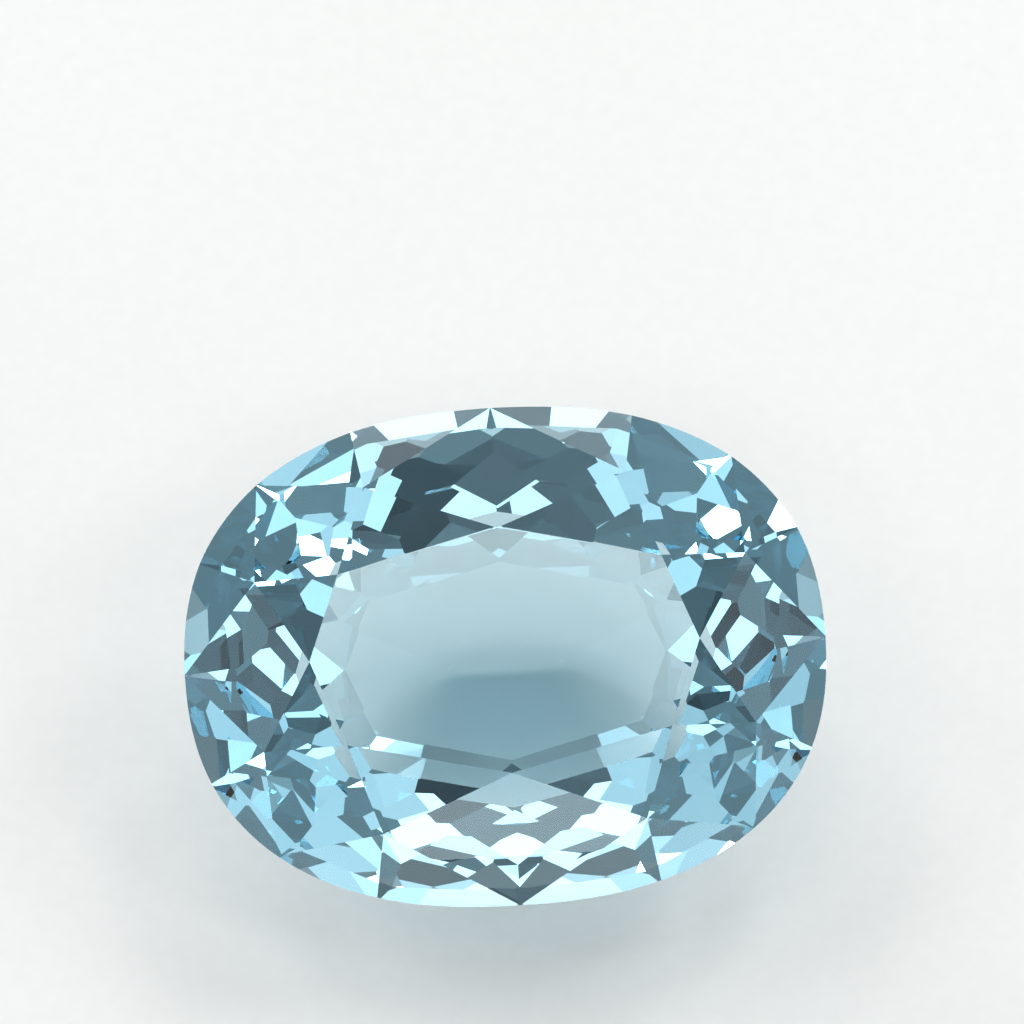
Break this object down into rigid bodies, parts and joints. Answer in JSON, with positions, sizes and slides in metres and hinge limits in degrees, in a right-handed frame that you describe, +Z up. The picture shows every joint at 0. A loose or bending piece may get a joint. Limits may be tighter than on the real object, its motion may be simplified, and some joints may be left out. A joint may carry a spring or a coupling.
{
  "type": "cut aquamarine gemstone",
  "caption": "Loose, polished aquamarine cut as an oval brilliant, lying on one pavilion facet with its table leaning forward.",
  "frame": {"origin": "centre of the bounding box's bottom face, on the surface the stone lies on", "axes": "+X along the stone's long axis, -Y towards the viewer and the low side of its table, +Z up"},
  "size_m": [0.018, 0.0132, 0.0086],
  "materials": {
    "aquamarine": "polished, transparent, pale blue"
  },
  "bodies": {
    "root": {"aquamarine": "aquamarine"}
  },
  "joints": []
}
